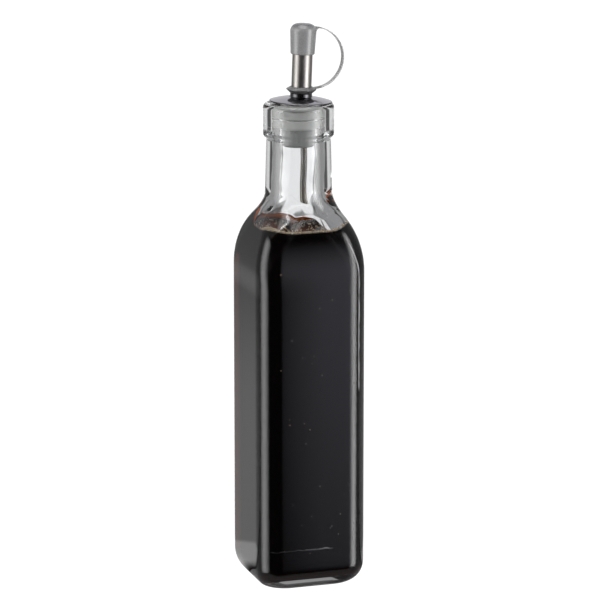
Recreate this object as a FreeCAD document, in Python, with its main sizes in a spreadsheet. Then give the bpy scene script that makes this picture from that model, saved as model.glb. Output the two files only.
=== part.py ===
import FreeCAD, Part
import Sketcher
import math
import os
import re

# Square glass bottle of vinegar with a steel pourer, its ribbed stopper and a tethered dust cap.
# Millimetres.  The bottle stands on the XY plane with its axis on +Z and its flat sides square to
# X and Y.  The pourer has its own frame, set on the lip of the bottle and leaning a little to +X.

SIZES = [
    # glass, outside
    ("body_side", 60.0, "width across the flat sides"),
    ("body_corner", 11.2, "corner radius of the body in plan"),
    ("foot_inset", 8.7, "how far the foot lies inside each flat side"),
    ("foot_corner", 11.5, "corner radius of the foot in plan"),
    ("heel_rise", 13.0, "height of the rounded heel"),
    ("punt_radius", 16.5, "radius of the hollow under the base"),
    ("punt_depth", 2.2, "depth of the hollow under the base"),
    ("glass_height", 259.3, "height of the lip"),
    ("neck_length", 47.6, "from the lip down to where the shoulder begins"),
    ("shoulder_rise", 40.4, "height of the shoulder, over the flat sides"),
    ("neck_root_radius", 17.9, "neck radius at its root"),
    ("neck_radius", 17.15, "neck radius under the finish"),
    ("shoulder_share", 0.71, "share of the shoulder's two arcs that is the convex one"),
    ("shoulder_blend", 3.3, "how late the square turns round on its way up"),
    ("finish_radius", 18.85, "radius of the band round the mouth"),
    ("finish_height", 18.0, "height of the band round the mouth"),
    ("finish_foot", 1.6, "rounding under the band"),
    ("lip_round", 2.6, "outer rounding of the lip"),
    # glass, inside
    ("wall", 3.0, "wall of the flat sides"),
    ("base_thickness", 6.0, "glass under the drink"),
    ("inner_foot_inset", 7.5, "how far the inner floor lies inside the inner sides"),
    ("inner_heel_rise", 9.0, "height of the rounding above the inner floor"),
    ("bore_length", 47.8, "from the lip down to the end of the bore"),
    ("inner_shoulder_rise", 36.5, "height over which the inside narrows to the bore"),
    ("bore_radius", 9.25, "radius of the bore in the neck"),
    ("inner_share", 0.70, "share of the inner shoulder's two arcs that is the convex one"),
    ("inner_blend", 1.0, "how late the inner square turns round"),
    ("mouth_flare", 0.7, "widening of the bore at the lip"),
    # drink
    ("head_space", 67.1, "from the lip down to the drink's surface"),
    ("fill_gap", 0.15, "clearance between drink and glass"),
    # pourer, heights above its own seat plane
    ("spout_lean", 2.1, "degrees that the pourer leans to +X"),
    ("spout_shift", 1.3, "how far the pourer's seat lies to +X of the bottle's axis"),
    ("disc_settle", 0.3, "how far the disc's low side settles over the rounding of the lip"),
    ("ring_seat", 0.05, "clearance between the ring and the weld collar"),
    ("disc_radius", 16.65, "radius of the domed disc"),
    ("disc_sheet", 0.6, "sheet thickness of the disc"),
    ("disc_dome", 2.5, "rise of the dome at its middle"),
    ("tube_radius", 5.33, "outer radius of the spout tube"),
    ("tube_wall", 0.5, "wall of the spout tube"),
    ("spout_height", 36.8, "top of the spout tube"),
    ("shank_length", 8.0, "length of the tube below the disc, inside the stopper"),
    ("collar_step", 0.45, "how far the weld collar stands out from the tube"),
    ("collar_top", 4.7, "top of the weld collar"),
    # stopper
    ("stopper_depth", 22.8, "from the lip down to the stopper's lower end"),
    ("stopper_rise", 0.8, "how far the stopper stands above the lip"),
    ("stopper_tip", 1.6, "bevel round the stopper's lower end"),
    ("rib_depth", 0.6, "depth of the grooves between the ribs"),
    ("rib_gap", 0.08, "clearance between ribs and bore"),
    ("rib_pitch", 4.4, "spacing of the ribs"),
    ("rib_bevel", 1.5, "height of the lowest rib's lead-in"),
    ("rib_groove", 0.8, "height of the groove between two ribs"),
    ("socket_gap", 0.1, "clearance between the shank and its socket"),
    ("flow_radius", 2.6, "radius of the pouring passage"),
    ("flow_offset", 1.9, "how far the pouring passage lies to -X"),
    # air tube
    ("vent_radius", 1.75, "outer radius of the air tube"),
    ("vent_wall", 0.4, "wall of the air tube"),
    ("vent_offset", 3.0, "how far the air tube lies to +X"),
    ("vent_depth", 53.1, "from the lip down to its lower end"),
    ("vent_stand", 8.7, "from the lip up to its other end, inside the spout"),
    ("vent_gap", 0.03, "clearance between the air tube and its hole"),
    # dust cap, with its strap and ring
    ("cap_gap", 0.1, "clearance between cap or ring and the tube"),
    ("cap_wall", 0.95, "wall of the cap at its mouth"),
    ("cap_flare", 0.55, "how much wider the cap is at its shoulder"),
    ("cap_overlap", 11.5, "length of tube inside the cap"),
    ("cap_roof", 4.55, "cap's top above the end of the tube"),
    ("cap_dome", 4.0, "rounding of the cap's top edge"),
    ("cap_edge", 0.6, "rounding of the cap's mouth"),
    ("strap_width", 4.0, "width of the strap"),
    ("strap_thickness", 0.6, "thickness of the strap"),
    ("strap_offset", 0.77, "from the cap's hole out to where the strap's half circle starts"),
    ("strap_drop", 1.9, "how far the strap leaves below the cap's top"),
    ("strap_land", 0.5, "how far the strap lands above the ring's rim"),
    ("gusset_depth", 2.0, "depth of the web under the strap's root"),
    ("gusset_reach", 2.6, "length of the web under the strap's root"),
    ("ring_width", 2.52, "width of the ring, from its hole to its rim"),
    ("ring_rim", 0.3, "thickness of the ring's rim"),
    ("ring_below", 2.0, "ring below its rim"),
    ("ring_above", 1.35, "ring above its rim"),
    ("ring_land", 0.5, "flat width at the ring's two ends"),
]

HEEL_STEPS = 4          # sections through each rounded heel, after the foot
CONVEX_STEPS = 6        # sections through the shoulder's convex arc
CONCAVE_STEPS = 5       # sections through the shoulder's concave arc
RIB_COUNT = 3
NARROW = 3              # degrees to each side of an axis taken by a round section's short pieces

doc = FreeCAD.newDocument("VinegarBottle")
sheet = doc.addObject("Spreadsheet::Sheet", "Sizes")
for row, (alias, number, meaning) in enumerate(SIZES, start=1):
    sheet.set(f"A{row}", alias)
    sheet.set(f"B{row}", str(number))
    sheet.set(f"C{row}", meaning)
    sheet.setAlias(f"B{row}", alias)
doc.recompute()

ALIASES = {alias for alias, number, meaning in SIZES}


def bound(expression):
    """The expression with every size's name pointing at the sheet."""
    return re.sub(r"[a-z_]+", lambda word: "Sizes." + word[0] if word[0] in ALIASES else word[0], expression)


def value(expression):
    """What the expression comes to now, as a plain number."""
    result = sheet.evalExpression(bound(expression))
    return float(getattr(result, "Value", result))


# ---------------------------------------------------------------- sketches

def new_body(label):
    body = doc.addObject("PartDesign::Body", label)
    body.Label = label
    return body


def plane_sketch(body, name, role, offset=None):
    """An empty sketch on one of the body's own origin planes, raised by an expression."""
    plane = next(item for item in body.Origin.OriginFeatures if item.Role == role)
    sketch = body.newObject("Sketcher::SketchObject", name)
    sketch.AttachmentSupport = [(plane, "")]
    sketch.MapMode = "FlatFace"
    if offset is not None:
        sketch.setExpression("AttachmentOffset.Base.z", bound(offset))
    return sketch


def pin(sketch, kind, geometry, end, expression):
    """Set one coordinate of a point, measured from the sketch's origin."""
    index = sketch.addConstraint(Sketcher.Constraint(kind, -1, 1, geometry, end, value(expression)))
    sketch.setExpression(f"Constraints[{index}]", bound(expression))


def outline(sketch, points, bends=None):
    """Closed outline through points given as pairs of expressions.

    bends maps the number of a side to the expression of its radius.  That side is an arc, which
    bulges to the right of the way from its first point to its last, or to the left if negative.
    """
    bends = bends or {}
    places = [FreeCAD.Vector(value(across), value(up), 0) for across, up in points]
    count = len(points)
    ends = []
    for side in range(count):
        first, last = places[side], places[(side + 1) % count]
        radius = value(bends[side]) if side in bends else 0
        sketch.addGeometry(bulge(first, last, radius) if radius else Part.LineSegment(first, last))
        ends.append((2, 1) if radius < 0 else (1, 2))
    for side, (across, up) in enumerate(points):
        following = (side + 1) % count
        sketch.addConstraint(
            Sketcher.Constraint("Coincident", side, ends[side][1], following, ends[following][0]))
        pin(sketch, "DistanceX", side, ends[side][0], across)
        pin(sketch, "DistanceY", side, ends[side][0], up)
    for side, radius in bends.items():
        index = sketch.addConstraint(Sketcher.Constraint("Radius", side, abs(value(radius))))
        sketch.setExpression(f"Constraints[{index}]", bound(f"abs({radius})"))


def bulge(first, last, radius):
    """Arc between two points, drawn counter-clockwise as sketches need it."""
    chord = last - first
    right = FreeCAD.Vector(chord.y, -chord.x, 0).normalize()
    reach = (radius ** 2 - (chord.Length / 2) ** 2) ** 0.5
    centre = (first + last) / 2 - right * math.copysign(reach, radius)
    start, end = (first, last) if radius > 0 else (last, first)
    first_angle = math.atan2(start.y - centre.y, start.x - centre.x)
    last_angle = math.atan2(end.y - centre.y, end.x - centre.x)
    if last_angle < first_angle:
        last_angle += 2 * math.pi
    circle = Part.Circle(centre, FreeCAD.Vector(0, 0, 1), abs(radius))
    return Part.ArcOfCircle(circle, first_angle, last_angle)


def rounded_square(body, name, height, half, corner):
    """Horizontal section: a square of the given half width with four rounded corners."""
    sketch = plane_sketch(body, name, "XY_Plane", height)
    reach, radius = value(half), value(corner)
    flat = reach - radius
    compass = [(0, -1), (1, 0), (0, 1), (-1, 0)]
    for east, north in compass:
        middle = FreeCAD.Vector(east * reach, north * reach, 0)
        along = FreeCAD.Vector(-north * flat, east * flat, 0)
        sketch.addGeometry(Part.LineSegment(middle - along, middle + along))
        centre = FreeCAD.Vector((east - north) * flat, (north + east) * flat, 0)
        circle = Part.Circle(centre, FreeCAD.Vector(0, 0, 1), radius)
        start = math.atan2(north, east)
        sketch.addGeometry(Part.ArcOfCircle(circle, start, start + math.pi / 2))
    for side in range(4):
        line, arc, following = 2 * side, 2 * side + 1, (2 * side + 2) % 8
        sketch.addConstraint(Sketcher.Constraint("Tangent", line, 2, arc, 1))
        sketch.addConstraint(Sketcher.Constraint("Tangent", arc, 2, following, 1))
        sketch.addConstraint(Sketcher.Constraint("Horizontal" if side % 2 == 0 else "Vertical", line))
        if side:
            sketch.addConstraint(Sketcher.Constraint("Equal", 1, arc))
        sign = "-" if side in (0, 3) else ""
        pin(sketch, "DistanceY" if side % 2 == 0 else "DistanceX", line, 1, f"{sign}({half})")
    index = sketch.addConstraint(Sketcher.Constraint("Radius", 1, radius))
    sketch.setExpression(f"Constraints[{index}]", bound(corner))
    return sketch


def round_section(body, name, height, radius):
    """Horizontal section: a circle cut into the same eight pieces as a rounded square."""
    sketch = plane_sketch(body, name, "XY_Plane", height)
    reach = value(radius)
    for side in range(4):
        middle = 90 * side - 90
        for start, sweep in ((middle - NARROW, 2 * NARROW), (middle + NARROW, 90 - 2 * NARROW)):
            circle = Part.Circle(FreeCAD.Vector(0, 0, 0), FreeCAD.Vector(0, 0, 1), reach)
            first = math.radians(start)
            sketch.addGeometry(Part.ArcOfCircle(circle, first, first + math.radians(sweep)))
    for piece in range(8):
        following = (piece + 1) % 8
        sketch.addConstraint(Sketcher.Constraint("Coincident", piece, 3, -1, 1))
        if piece < 7:
            sketch.addConstraint(Sketcher.Constraint("Coincident", piece, 2, following, 1))
        turn = -90 + 90 * (piece // 2) + (NARROW if piece % 2 else -NARROW)
        across = f"({radius}) * cos({turn})"
        pin(sketch, "DistanceX", piece, 1, across)
    index = sketch.addConstraint(Sketcher.Constraint("Radius", 0, reach))
    sketch.setExpression(f"Constraints[{index}]", bound(radius))
    return sketch


# ---------------------------------------------------------------- features

def loft(body, name, sections, ruled=False):
    feature = body.newObject("PartDesign::AdditiveLoft", name)
    feature.Profile = sections[0]
    feature.Sections = [(sketch, [""]) for sketch in sections[1:]]
    feature.Ruled = ruled
    return feature


def turned(body, name, points, bends=None):
    """Solid of revolution about the body's Z axis; points are (radius, height) expressions."""
    sketch = plane_sketch(body, name + "Profile", "XZ_Plane")
    outline(sketch, points, bends)
    feature = body.newObject("PartDesign::Revolution", name)
    feature.Profile = sketch
    feature.ReferenceAxis = (sketch, ["V_Axis"])
    feature.Angle = 360
    return feature


def turned_cut(body, name, points, bends=None):
    """Turned recess about the body's Z axis."""
    sketch = plane_sketch(body, name + "Profile", "XZ_Plane")
    outline(sketch, points, bends)
    feature = body.newObject("PartDesign::Groove", name)
    feature.Profile = sketch
    feature.ReferenceAxis = (sketch, ["V_Axis"])
    feature.Angle = 360
    return feature


def drilled(body, name, radius, across):
    """Round hole through the whole body, parallel to Z and moved along X."""
    sketch = plane_sketch(body, name + "Circle", "XY_Plane")
    place = FreeCAD.Vector(value(across), 0, 0)
    sketch.addGeometry(Part.Circle(place, FreeCAD.Vector(0, 0, 1), value(radius)))
    pin(sketch, "DistanceX", 0, 3, across)
    sketch.addConstraint(Sketcher.Constraint("PointOnObject", 0, 3, -1))
    index = sketch.addConstraint(Sketcher.Constraint("Radius", 0, value(radius)))
    sketch.setExpression(f"Constraints[{index}]", bound(radius))
    feature = body.newObject("PartDesign::Pocket", name)
    feature.Profile = sketch
    feature.Type = "ThroughAll"
    feature.Midplane = True
    return feature


def rounded_edges(body, name, radius, chosen):
    """Fillet on every edge for which chosen(edge) is true."""
    doc.recompute()
    base = body.Tip
    names = [f"Edge{number}" for number, edge in enumerate(base.Shape.Edges, start=1) if chosen(edge)]
    if not names:
        raise RuntimeError(f"{body.Label}: no edge for {name}")
    feature = body.newObject("PartDesign::Fillet", name)
    feature.Base = (base, names)
    feature.setExpression("Radius", bound(radius))
    return feature


def circle_at(height, radius, slack=0.02):
    """Test for a full circle about the Z axis at a height and of a radius, both expressions."""
    level, reach = value(height), value(radius)

    def chosen(edge):
        box = edge.BoundBox
        return (abs(box.ZMin - level) < slack and abs(box.ZMax - level) < slack
                and abs(box.XMax - reach) < slack and abs(box.XMin + reach) < slack)
    return chosen


# ---------------------------------------------------------------- the bottle's form

def smooth_step(share):
    return f"(({share})^2 * (3 - 2 * ({share})))"


def vessel_form(body, form):
    """Rounded heel, square sides, shoulder that turns round, and neck, as one solid.

    form holds expressions: floor, foot_half, foot_corner, heel_rise, half, corner, start, root,
    root_radius, share, blend, top and top_radius.
    """
    heel = []
    for step in range(HEEL_STEPS + 1):
        turn = 90 * step / HEEL_STEPS
        height = f"{form['floor']} + ({form['heel_rise']}) * (1 - cos({turn}))"
        half = f"{form['foot_half']} + (({form['half']}) - ({form['foot_half']})) * sin({turn})"
        corner = f"{form['foot_corner']} + (({form['corner']}) - ({form['foot_corner']})) * sin({turn})"
        heel.append(rounded_square(body, f"Heel{step}", height, half, corner))
    loft(body, "HeelLoft", heel)

    side_foot = f"{form['floor']} + {form['heel_rise']}"
    base = rounded_square(body, "Side0", side_foot, form["half"], form["corner"])
    sides = body.newObject("PartDesign::Pad", "Sides")
    sides.Profile = base
    sides.setExpression("Length", bound(f"{form['start']} - ({form['floor']}) - ({form['heel_rise']})"))

    # two arcs that meet at the slope: the convex one leaves the side, the concave one ends at the neck
    drop = f"(({form['half']}) - ({form['root_radius']}))"
    rise = f"(({form['root']}) - ({form['start']}))"
    slope = f"(2 * atan({drop} / {rise}))"
    radius = f"({rise} / sin{slope})"
    stations = []
    for step in range(CONVEX_STEPS + 1):
        turn = f"({slope} * {step / CONVEX_STEPS})"
        height = f"{form['start']} + {form['share']} * {radius} * sin{turn}"
        half = f"{form['half']} - {form['share']} * {radius} * (1 - cos{turn})"
        stations.append((height, half))
    for step in range(1, CONCAVE_STEPS):
        turn = f"({slope} * {1 - step / CONCAVE_STEPS})"
        height = f"{form['root']} - (1 - {form['share']}) * {radius} * sin{turn}"
        half = f"{form['root_radius']} + (1 - {form['share']}) * {radius} * (1 - cos{turn})"
        stations.append((height, half))
    shoulder = []
    for step, (height, half) in enumerate(stations):
        climbed = f"max(0; (({height}) - ({form['start']})) / {rise})"
        roundness = smooth_step(f"({climbed})^{form['blend']}")
        squarest = f"(({form['corner']}) / ({form['half']}))"
        corner = f"({half}) * ({squarest} + (1 - {squarest}) * {roundness})"
        shoulder.append(rounded_square(body, f"Shoulder{step}", height, half, corner))
    shoulder.append(round_section(body, "NeckRoot", form["root"], form["root_radius"]))
    loft(body, "ShoulderLoft", shoulder)

    foot = round_section(body, "NeckFoot", form["root"], form["root_radius"])
    top = round_section(body, "NeckTop", form["top"], form["top_radius"])
    loft(body, "NeckLoft", [foot, top], ruled=True)


NECK_ROOT = "glass_height - neck_length"
BORE_END = "glass_height - bore_length"

GLASS_OUTSIDE = {
    "floor": "0",
    "foot_half": "body_side / 2 - foot_inset",
    "foot_corner": "foot_corner",
    "heel_rise": "heel_rise",
    "half": "body_side / 2",
    "corner": "body_corner",
    "start": f"({NECK_ROOT} - shoulder_rise)",
    "root": f"({NECK_ROOT})",
    "root_radius": "neck_root_radius",
    "share": "shoulder_share",
    "blend": "shoulder_blend",
    "top": "glass_height - finish_height",
    "top_radius": "neck_radius",
}


def inside_form(gap, top):
    """The space inside the glass, drawn in by a gap from every wall."""
    half = f"body_side / 2 - wall - {gap}"
    corner = f"body_corner - wall - {gap}"
    return {
        "floor": f"base_thickness + {gap}",
        "foot_half": f"{half} - inner_foot_inset",
        "foot_corner": corner,
        "heel_rise": "inner_heel_rise",
        "half": half,
        "corner": corner,
        "start": f"({BORE_END} - inner_shoulder_rise)",
        "root": f"({BORE_END})",
        "root_radius": f"bore_radius - {gap}",
        "share": "inner_share",
        "blend": "inner_blend",
        "top": top,
        "top_radius": f"bore_radius - {gap}",
    }


def make_bottle():
    outside = new_body("glass_outside")
    vessel_form(outside, GLASS_OUTSIDE)
    band_foot = "glass_height - finish_height"
    turned(outside, "Finish", [
        ("0", band_foot),
        ("finish_radius - finish_foot", band_foot),
        ("finish_radius", f"{band_foot} + finish_foot"),
        ("finish_radius", "glass_height - lip_round"),
        ("finish_radius - lip_round", "glass_height"),
        ("0", "glass_height"),
    ], {1: "finish_foot", 3: "lip_round"})
    punt_bend = "(punt_radius^2 + punt_depth^2) / (2 * punt_depth)"
    turned_cut(outside, "Punt", [
        ("0", "-1"),
        ("punt_radius", "-1"),
        ("punt_radius", "0"),
        ("0", "punt_depth"),
    ], {2: punt_bend})

    inside = new_body("glass_inside")
    vessel_form(inside, inside_form("0", "glass_height + 1"))
    turned(inside, "Mouth", [
        ("0", "glass_height - mouth_flare"),
        ("bore_radius", "glass_height - mouth_flare"),
        ("bore_radius + mouth_flare", "glass_height"),
        ("bore_radius + mouth_flare", "glass_height + 1"),
        ("0", "glass_height + 1"),
    ])
    bottle = doc.addObject("Part::Cut", "bottle")
    bottle.Label = "bottle"
    bottle.Base = outside
    bottle.Tool = inside
    return bottle


def make_vinegar():
    fill = new_body("drink_form")
    vessel_form(fill, inside_form("fill_gap", f"{BORE_END} + 1"))
    below = doc.addObject("Part::Box", "below_level")
    below.setExpression("Length", bound("body_side"))
    below.setExpression("Width", bound("body_side"))
    below.setExpression("Height", bound("glass_height - head_space"))
    for axis in "xy":
        below.setExpression(f"Placement.Base.{axis}", bound("-body_side / 2"))
    vinegar = doc.addObject("Part::Common", "vinegar")
    vinegar.Label = "vinegar"
    vinegar.Base = fill
    vinegar.Tool = below
    return vinegar


# ---------------------------------------------------------------- pourer

SEAT_HEIGHT = "glass_height + disc_radius * sin(spout_lean) - disc_settle"


def seat_on_lip(piece):
    """Puts a piece of the pourer on the lip, leaning to +X."""
    piece.Placement = FreeCAD.Placement(
        FreeCAD.Vector(value("spout_shift"), 0, value(SEAT_HEIGHT)),
        FreeCAD.Rotation(FreeCAD.Vector(0, 1, 0), value("spout_lean")))
    piece.setExpression("Placement.Base.x", bound("spout_shift"))
    piece.setExpression("Placement.Base.z", bound(SEAT_HEIGHT))
    piece.setExpression("Placement.Rotation.Angle", bound("spout_lean"))


DOME_BEND = "((disc_radius^2 + disc_dome^2) / (2 * disc_dome))"


def dome_height(radius):
    """Height of the disc's underside over its seat, at a distance from the axis."""
    return f"(disc_dome - {DOME_BEND} + sqrt({DOME_BEND}^2 - ({radius})^2))"


def make_spout():
    """Domed disc, weld collar and tube, turned from one profile."""
    spout = new_body("spout")
    bore = "tube_radius - tube_wall"
    collar = "tube_radius + collar_step"
    turned(spout, "DiscAndTube", [
        (bore, "-shank_length"),
        ("tube_radius", "-shank_length"),
        ("tube_radius", dome_height("tube_radius")),
        ("disc_radius", "0"),
        ("disc_radius", "disc_sheet"),
        (collar, f"disc_sheet + {dome_height(collar)}"),
        (collar, "collar_top - collar_step"),
        ("tube_radius", "collar_top"),
        ("tube_radius", "spout_height"),
        (bore, "spout_height"),
    ], {2: f"-{DOME_BEND}", 4: DOME_BEND, 6: "collar_step"})
    rounded_edges(spout, "RolledRim", "disc_sheet * 0.4", circle_at("disc_sheet", "disc_radius"))
    seat_on_lip(spout)
    return spout


def make_stopper():
    """Ribbed plug with a socket for the tube, a pouring passage and a hole for the air tube."""
    plug = new_body("plug")
    rib = "bore_radius - rib_gap"
    core = f"{rib} - rib_depth"
    foot = "glass_height - stopper_depth"
    ribs_foot = f"glass_height + stopper_rise - {RIB_COUNT} * rib_pitch"
    points = [
        ("0", foot),
        (f"{core} - stopper_tip", foot),
        (core, f"{foot} + stopper_tip"),
        (core, f"{ribs_foot} - rib_bevel"),
        (rib, ribs_foot),
    ]
    for number in range(1, RIB_COUNT):
        groove = f"{ribs_foot} + {number} * rib_pitch"
        points.append((rib, f"{groove} - rib_groove / 2"))
        points.append((core, groove))
        points.append((rib, f"{groove} + rib_groove / 2"))
    points.append((rib, "glass_height + stopper_rise"))
    points.append(("0", "glass_height + stopper_rise"))
    turned(plug, "PlugProfile", points, {1: "stopper_tip"})
    drilled(plug, "AirHole", "vent_radius + vent_gap", "vent_offset")
    drilled(plug, "FlowHole", "flow_radius", "-flow_offset")

    socket = doc.addObject("Part::Cylinder", "socket")
    socket.setExpression("Radius", bound("tube_radius + socket_gap"))
    socket.setExpression("Height", bound("shank_length + disc_dome + socket_gap"))
    socket_foot = "(shank_length + socket_gap)"
    socket.Placement.Rotation = FreeCAD.Rotation(FreeCAD.Vector(0, 1, 0), value("spout_lean"))
    socket.setExpression("Placement.Rotation.Angle", bound("spout_lean"))
    socket.setExpression("Placement.Base.x", bound(f"spout_shift - {socket_foot} * sin(spout_lean)"))
    socket.setExpression("Placement.Base.z", bound(f"{SEAT_HEIGHT} - {socket_foot} * cos(spout_lean)"))
    stopper = doc.addObject("Part::Cut", "stopper")
    stopper.Label = "stopper"
    stopper.Base = plug
    stopper.Tool = socket
    return stopper


def make_vent_tube():
    vent = new_body("vent_tube")
    turned(vent, "VentWall", [
        ("vent_radius - vent_wall", "glass_height - vent_depth"),
        ("vent_radius", "glass_height - vent_depth"),
        ("vent_radius", "glass_height + vent_stand"),
        ("vent_radius - vent_wall", "glass_height + vent_stand"),
    ])
    vent.Placement = FreeCAD.Placement(FreeCAD.Vector(value("vent_offset"), 0, 0), FreeCAD.Rotation())
    vent.setExpression("Placement.Base.x", bound("vent_offset"))
    return vent


def make_dust_cap():
    """Soft cap over the tube's end, its strap in a half circle, and the ring round the tube's foot."""
    cap = new_body("dust_cap")
    hole = "tube_radius + cap_gap"
    mouth = f"{hole} + cap_wall"
    crown = f"{mouth} + cap_flare"
    mouth_height = "spout_height - cap_overlap"
    cap_top = "spout_height + cap_roof"
    shoulder = f"{cap_top} - cap_dome"
    turned(cap, "CapForm", [
        ("0", mouth_height),
        (mouth, mouth_height),
        (crown, shoulder),
        (f"{crown} - cap_dome", cap_top),
        ("0", cap_top),
    ], {2: "cap_dome"})
    rounded_edges(cap, "CapMouth", "min(cap_edge; cap_wall * 0.8)", circle_at(mouth_height, mouth))

    strap_root = f"({hole} + strap_offset)"
    ring_radius = f"{hole} + ring_width"
    ring_mid = "(collar_top + ring_seat + ring_below)"
    loop_top = f"({cap_top} - strap_drop)"
    loop_foot = f"({ring_mid} + strap_land)"
    loop_mid = f"(({loop_top} + {loop_foot}) / 2)"
    loop_radius = f"(({loop_top} - {loop_foot}) / 2)"

    gusset = plane_sketch(cap, "GussetProfile", "XZ_Plane")
    outline(gusset, [
        (f"{strap_root} - cap_dome", f"{loop_top} - gusset_depth"),
        (f"{strap_root} + strap_thickness", f"{loop_top} - gusset_depth"),
        (f"{strap_root} + gusset_reach", f"{loop_top} - strap_thickness / 2"),
        (strap_root, f"{loop_top} + strap_thickness / 2"),
        (f"{strap_root} - cap_dome", cap_top),
    ])
    web = cap.newObject("PartDesign::Pad", "Gusset")
    web.Profile = gusset
    web.Midplane = True
    web.setExpression("Length", bound("strap_width"))

    section = plane_sketch(cap, "StrapSection", "XY_Plane", loop_mid)
    inner = f"{strap_root} + {loop_radius} - strap_thickness / 2"
    outer = f"{strap_root} + {loop_radius} + strap_thickness / 2"
    outline(section, [
        (inner, "-strap_width / 2"),
        (outer, "-strap_width / 2"),
        (outer, "strap_width / 2"),
        (inner, "strap_width / 2"),
    ])
    root = FreeCAD.Vector(value(strap_root), 0, 0)
    axis = section.addGeometry(Part.LineSegment(root, root + FreeCAD.Vector(0, 1, 0)), True)
    pin(section, "DistanceX", axis, 1, strap_root)
    section.addConstraint(Sketcher.Constraint("PointOnObject", axis, 1, -1))
    section.addConstraint(Sketcher.Constraint("Vertical", axis))
    section.addConstraint(Sketcher.Constraint("DistanceY", axis, 1, axis, 2, 1.0))
    strap = cap.newObject("PartDesign::Revolution", "Strap")
    strap.Profile = section
    strap.ReferenceAxis = (section, ["Axis0"])
    strap.Midplane = True
    strap.Angle = 180

    turned(cap, "Ring", [
        (hole, f"{ring_mid} - ring_below"),
        (f"{hole} + ring_land", f"{ring_mid} - ring_below"),
        (ring_radius, f"{ring_mid} - ring_rim / 2"),
        (ring_radius, f"{ring_mid} + ring_rim / 2"),
        (f"{hole} + ring_land", f"{ring_mid} + ring_above"),
        (hole, f"{ring_mid} + ring_above"),
    ])
    turned_cut(cap, "CapHollow", [
        ("0", f"{mouth_height} - 1"),
        (hole, f"{mouth_height} - 1"),
        (hole, "spout_height + cap_gap"),
        ("0", "spout_height + cap_gap"),
    ])
    seat_on_lip(cap)
    return cap


# ---------------------------------------------------------------- build and write

PIECES = [make_bottle(), make_vinegar(), make_stopper(), make_spout(), make_vent_tube(), make_dust_cap()]
doc.recompute()

for item in doc.Objects:
    if "Invalid" in item.State or "Error" in item.State:
        raise RuntimeError(f"{item.Name}: {item.State}")
for piece in PIECES:
    if piece.Shape.isNull() or not piece.Shape.isValid() or len(piece.Shape.Solids) != 1:
        raise RuntimeError(f"{piece.Label}: not one valid solid")

os.makedirs("parts", exist_ok=True)
for piece in PIECES:
    piece.Shape.exportStep(f"parts/{piece.Label}.step")
    box = piece.Shape.BoundBox
    print(f"{piece.Label:10s} {piece.Shape.Volume / 1000:8.2f} ml  z {box.ZMin:7.2f} to {box.ZMax:7.2f}")
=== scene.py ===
"""Looks of the oil and vinegar bottle: glass, vinegar with its foam, stopper, pourer, air tube and dust cap."""

import math

import bmesh
import bpy
from mathutils import Matrix, Vector


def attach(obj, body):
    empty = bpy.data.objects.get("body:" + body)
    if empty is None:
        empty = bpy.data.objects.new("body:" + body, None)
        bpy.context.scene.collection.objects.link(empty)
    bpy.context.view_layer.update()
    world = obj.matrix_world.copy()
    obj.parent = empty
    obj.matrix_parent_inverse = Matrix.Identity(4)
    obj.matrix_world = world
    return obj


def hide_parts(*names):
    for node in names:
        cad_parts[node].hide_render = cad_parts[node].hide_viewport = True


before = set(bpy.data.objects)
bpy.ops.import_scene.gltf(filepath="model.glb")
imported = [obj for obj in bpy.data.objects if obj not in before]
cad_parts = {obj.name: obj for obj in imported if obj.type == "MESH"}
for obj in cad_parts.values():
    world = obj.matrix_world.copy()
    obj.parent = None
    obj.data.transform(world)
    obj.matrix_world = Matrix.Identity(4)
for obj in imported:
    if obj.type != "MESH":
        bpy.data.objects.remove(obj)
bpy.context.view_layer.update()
MM = 0.001

# ---------------------------------------------------------------- sizes, in mm as in the CAD part

HALF = 30.0
CORNER = 11.2
FOOT_INSET = 8.7
FOOT_CORNER = 11.5
HEEL_RISE = 13.0
SHOULDER_START = 171.3
LIP = 259.3
NECK_ROOT = 211.7
NECK_ROOT_RADIUS = 17.9
NECK_RADIUS = 17.15
FINISH_RADIUS = 18.85
FINISH_FOOT = 1.6
FINISH_HEIGHT = 18.0
LIP_ROUND = 2.6
WALL = 3.0
SIDE_SINK = 0.04    # how far the flat sides are drawn in, outside and inside
INNER_SINK = 0.2
FLOOR = 6.0
INNER_FOOT_INSET = 7.5
INNER_HEEL_RISE = 9.0
INNER_SHOULDER_START = 168.0
BORE_RADIUS = 9.25
BORE_END = 214.0
MOUTH_FLARE = 0.7
LEVEL = 192.2
PUNT_RADIUS = 16.5
PUNT_DEPTH = 2.2

LEAN = 2.1
SEAT = 259.61
SEAT_SHIFT = 1.3
DISC_RADIUS = 16.65
DISC_SHEET = 0.6
DISC_DOME = 2.5
TUBE_RADIUS = 5.33
TUBE_WALL = 0.5
SPOUT_HEIGHT = 36.8
SHANK = 8.0
COLLAR_TOP = 4.7
COLLAR_STEP = 0.45

STOPPER_FOOT = 236.5
STOPPER_TOP = 260.1
RIB_DEPTH = 0.6
RIB_PITCH = 4.4
RIB_GROOVE = 0.8
RIB_BEVEL = 1.5
RIB_COUNT = 3
FLOW_RADIUS = 2.6
FLOW_OFFSET = -1.9
VENT_RADIUS = 1.75
VENT_WALL = 0.4
VENT_OFFSET = 3.0
VENT_FOOT = 206.2
VENT_TOP = 268.0

CAP_HOLE = TUBE_RADIUS + 0.1
CAP_MOUTH = 25.3
CAP_TOP = 41.35
CAP_SHOULDER = 37.35
MOUTH_RADIUS = 6.38
CROWN_RADIUS = 6.93
CAP_DOME = 4.0
STRAP_ROOT = 6.2
STRAP_MIDDLE = 23.35
STRAP_RADIUS = 16.1
STRAP_WIDTH = 4.0
STRAP_THICKNESS = 0.6
RING_MIDDLE = 6.75
RING_RADIUS = 7.95

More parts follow.
